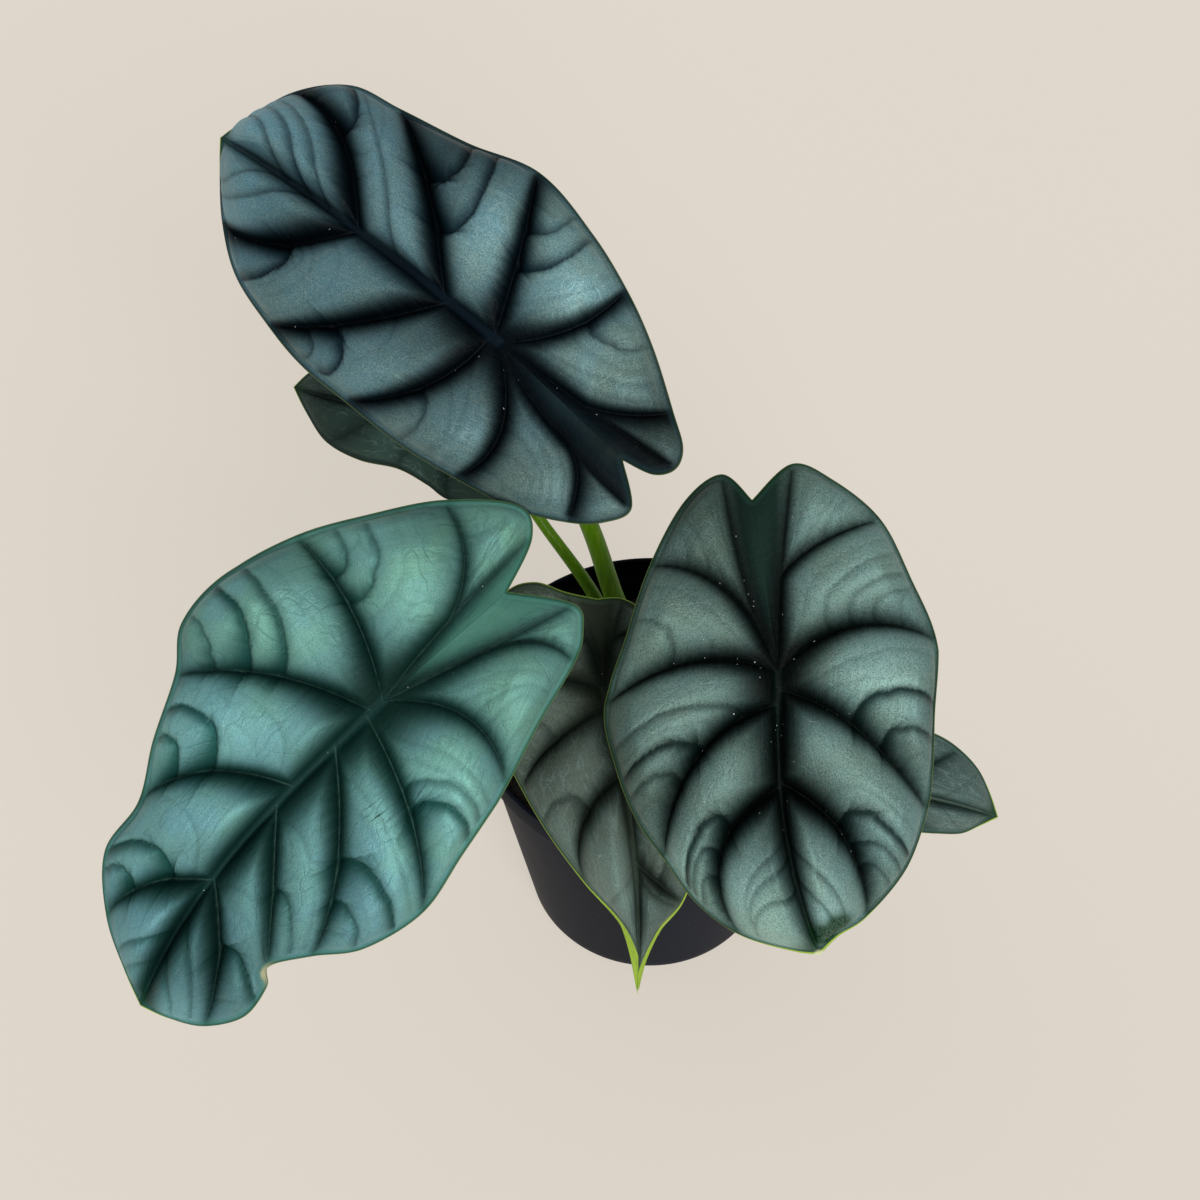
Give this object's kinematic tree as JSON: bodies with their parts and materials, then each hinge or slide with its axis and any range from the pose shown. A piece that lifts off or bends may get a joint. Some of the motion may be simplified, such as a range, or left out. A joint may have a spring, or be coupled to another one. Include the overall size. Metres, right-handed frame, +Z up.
{
  "type": "potted silver dragon alocasia",
  "caption": "Small aroid house plant: shield-shaped quilted leaves with sunken dark veins on slender green stalks, growing in a round tapered nursery pot.",
  "frame": {"origin": "centre of the pot's base, on the surface that it stands on", "axes": "+Z up out of the pot, +X to the right and +Y away behind as the plant is seen from its front"},
  "size_m": [0.2655, 0.2367, 0.2757],
  "materials": {
    "pot": "thin black moulded plastic with a faint sheen",
    "potting_mix": "damp dark bark and fibre",
    "stalk": "smooth yellow-green stem, satin",
    "blade_slate": "blue-grey silver panels between near-black sunken veins, satin",
    "blade_teal": "teal silver panels between dark green sunken veins, satin",
    "blade_sage": "grey-green silver panels between near-black sunken veins, satin",
    "blade_shade": "darker grey-green blade with sunken veins and lime edges, satin"
  },
  "bodies": {
    "root": {"pot": "pot", "potting_mix": "potting_mix", "stalk_upper": "stalk", "stalk_rear": "stalk", "stalk_left": "stalk", "stalk_right": "stalk", "stalk_front": "stalk", "stalk_low": "stalk", "blade_upper": "blade_slate", "blade_rear": "blade_shade", "blade_left": "blade_teal", "blade_right": "blade_sage", "blade_front": "blade_shade", "blade_low": "blade_slate"}
  },
  "joints": []
}
